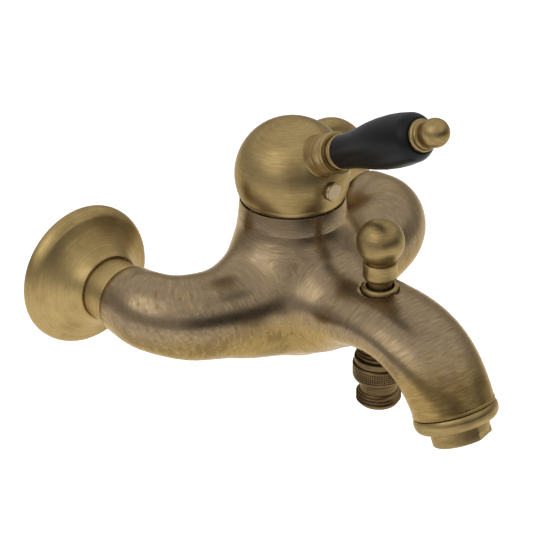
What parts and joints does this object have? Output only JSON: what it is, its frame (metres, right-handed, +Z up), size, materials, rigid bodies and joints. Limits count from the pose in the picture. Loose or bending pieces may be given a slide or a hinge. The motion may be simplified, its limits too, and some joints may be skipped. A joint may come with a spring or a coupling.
{
  "type": "bath mixer",
  "caption": "Wall-mounted bath mixer: two curved arms, flared neck with a tilting ball cap and lever, curved spout with a pull-up diverter and a hand shower outlet.",
  "frame": {"origin": "midway between the two inlets, on the face of the wall", "axes": "+X along the line of the inlets, +Y into the wall, +Z up"},
  "size_m": [0.218, 0.204, 0.1514],
  "materials": {
    "antique_brass": "brushed antique brass, dark streaks, paler worn edges",
    "plain_brass": "bare turned brass",
    "black_handle": "satin black",
    "steel": "turned stainless steel",
    "rubber": "black rubber",
    "ceramic": "lapped white ceramic",
    "cartridge_plastic": "grey moulded plastic",
    "valve_plastic": "white moulded plastic",
    "screen": "stainless mesh"
  },
  "bodies": {
    "mixer": {"mixer_body": "antique_brass", "wall_union_left": "plain_brass", "wall_union_right": "plain_brass", "wall_flange_left": "antique_brass", "wall_flange_right": "antique_brass", "union_nut_left": "antique_brass", "union_nut_right": "antique_brass", "inlet_washer_left": "rubber", "inlet_washer_right": "rubber", "inlet_tail_left": "plain_brass", "inlet_tail_right": "plain_brass", "cartridge_housing": "cartridge_plastic", "cartridge_base": "cartridge_plastic", "port_seals": "rubber", "fixed_disc": "ceramic", "cartridge_nut": "plain_brass", "diverter_bushing": "antique_brass", "spindle_seal": "rubber", "outlet_nipple": "antique_brass", "check_coupling": "antique_brass", "outlet_seal": "rubber", "outlet_tail": "antique_brass", "check_housing": "valve_plastic", "check_spring": "steel", "spout_ring": "antique_brass", "aerator_housing": "antique_brass", "aerator_insert": "valve_plastic", "aerator_screen": "screen", "aerator_washer": "rubber"},
    "carrier": {"cartridge_carrier": "cartridge_plastic", "pivot_pin": "steel"},
    "lever": {"cartridge_stem": "steel", "cap_dome": "antique_brass", "cap_ring": "antique_brass", "index_plug": "antique_brass", "cap_screw": "steel", "lever_collar": "antique_brass", "lever_handle": "black_handle", "handle_ferrule": "antique_brass", "lever_finial": "antique_brass", "lever_rod": "steel"},
    "disc": {"moving_disc": "ceramic", "disc_slider": "cartridge_plastic"},
    "diverter": {"diverter_knob": "antique_brass", "diverter_spindle": "steel", "lower_washer": "rubber", "valve_disc": "plain_brass", "upper_washer": "rubber", "valve_nut": "plain_brass"},
    "poppet": {"check_poppet": "valve_plastic"}
  },
  "joints": [
    {"name": "swivel", "type": "hinge", "parent": "mixer", "child": "carrier", "pos_m": [0, -0.0652, 0], "axis": [0, 0, 1], "range_deg": [-50, 50]},
    {"name": "lift", "type": "hinge", "parent": "carrier", "child": "lever", "pos_m": [0, -0.0652, 0.0503], "axis": [-1, 0, 0], "range_deg": [0, 20]},
    {"name": "disc_slide", "type": "slide", "parent": "carrier", "child": "disc", "axis": [0, -1, 0], "range_m": [0, 0.0087]},
    {"name": "diverter_pull", "type": "slide", "parent": "mixer", "child": "diverter", "axis": [0, 0, 1], "range_m": [0, 0.0068]},
    {"name": "check_valve", "type": "slide", "parent": "mixer", "child": "poppet", "axis": [0, 0, -1], "range_m": [0, 0.0025], "stiffness_N_per_m": 200, "springref_m": -0.001, "deforming": ["check_spring"]}
  ],
  "couplings": [
    {"joint": "disc_slide", "follows": "lift", "m_per_rad": 0.0248}
  ]
}
